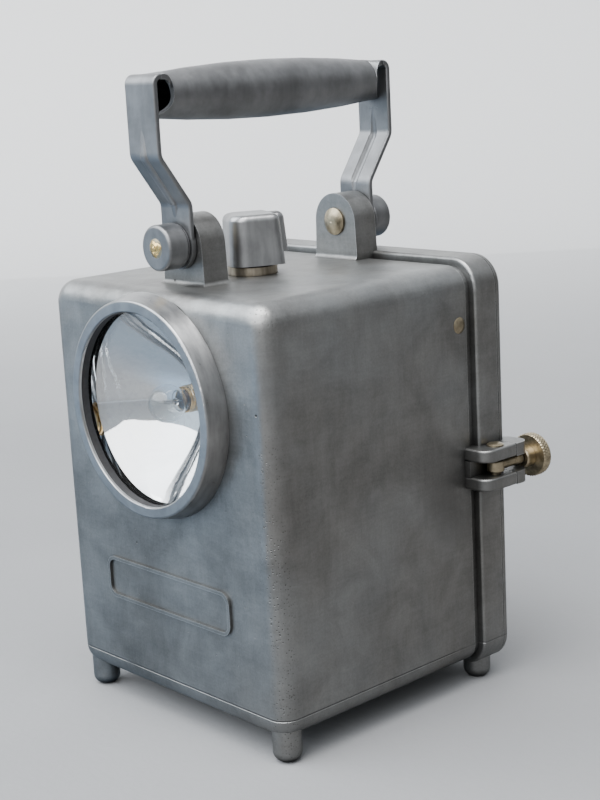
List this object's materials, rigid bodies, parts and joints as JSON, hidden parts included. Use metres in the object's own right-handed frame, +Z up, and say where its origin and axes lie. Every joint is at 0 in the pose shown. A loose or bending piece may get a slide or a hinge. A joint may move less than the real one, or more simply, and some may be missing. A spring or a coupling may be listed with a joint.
{
  "type": "railroad lantern",
  "caption": "Cast hand lantern with a round lens in front, a folding barrel-grip handle, a top switch and a clasped rear door.",
  "frame": {"origin": "on the floor, in the middle of the whole object's reach across and along", "axes": "+Z up, -Y towards the lens, +X towards the side with the clasp and its thumb nut"},
  "size_m": [0.1444, 0.1358, 0.237],
  "materials": {
    "cast": "aged casting: fine grain, pits, dark hollows and rubbed edges",
    "turned_aluminium": "turned and lightly worn, brighter than the casting",
    "polished_aluminium": "polished, with fine scratches",
    "strap_steel": "plated strip, dulled, brighter along its edges",
    "spring_steel": "plated, fine brushing",
    "brass": "aged brass, brighter on its edges",
    "bronze": "dark turned brass, stained in its grooves",
    "glass": "clear",
    "mirror": "silvered, slightly dusty",
    "rubber": "matte black",
    "insulator": "laminated board, satin",
    "battery_plastic": "smooth case, slight sheen"
  },
  "bodies": {
    "casting": {"body_casting": "cast", "hinge_pins": "brass", "bezel_ring": "turned_aluminium", "lens_gasket": "rubber", "lens_glass": "glass", "reflector": "mirror", "bulb_glass": "glass", "bulb_cap": "brass", "bulb_contact": "brass", "lamp_holder": "brass", "holder_insulator": "insulator", "lamp_strip": "brass", "battery_contact": "brass", "earth_contact": "brass", "battery_case": "battery_plastic", "battery_cover": "insulator", "battery_terminals": "brass", "battery_spring": "spring_steel", "side_rivet": "brass", "switch_collar": "bronze", "bush_nut": "bronze", "contact_deck": "insulator", "deck_pillars": "brass", "pivot_screws": "brass", "pivot_washers": "spring_steel", "pivot_nuts": "strap_steel", "clasp_pin": "brass"},
    "handle": {"handle": "strap_steel"},
    "door": {"rear_door": "cast", "door_gasket": "rubber"},
    "switch": {"switch_shaft": "brass", "switch_knob": "polished_aluminium", "knob_screw": "spring_steel", "switch_rotor": "insulator", "switch_blade": "brass"},
    "bolt": {"swing_bolt": "brass"},
    "nut": {"thumb_nut": "brass"}
  },
  "joints": [
    {"name": "handle_fold", "type": "hinge", "parent": "casting", "child": "handle", "pos_m": [-0.00213, -0.0001, 0.1749], "axis": [0, 1, 0], "range_deg": [-92, 92]},
    {"name": "door_hinge", "type": "hinge", "parent": "casting", "child": "door", "pos_m": [-0.06863, 0.05145, 0.085], "axis": [0, 0, 1], "range_deg": [0, 110]},
    {"name": "switch_turn", "type": "hinge", "parent": "casting", "child": "switch", "pos_m": [-0.00213, -0.0109, 0.17], "axis": [0, 0, 1], "range_deg": [0, 90]},
    {"name": "bolt_swing", "type": "hinge", "parent": "casting", "child": "bolt", "pos_m": [0.06398, 0.0449, 0.086], "axis": [0, 0, -1], "range_deg": [0, 120]},
    {"name": "nut_spin", "type": "hinge", "parent": "bolt", "child": "nut", "pos_m": [0.06398, 0.0614, 0.086], "axis": [0, 1, 0], "continuous": true}
  ]
}
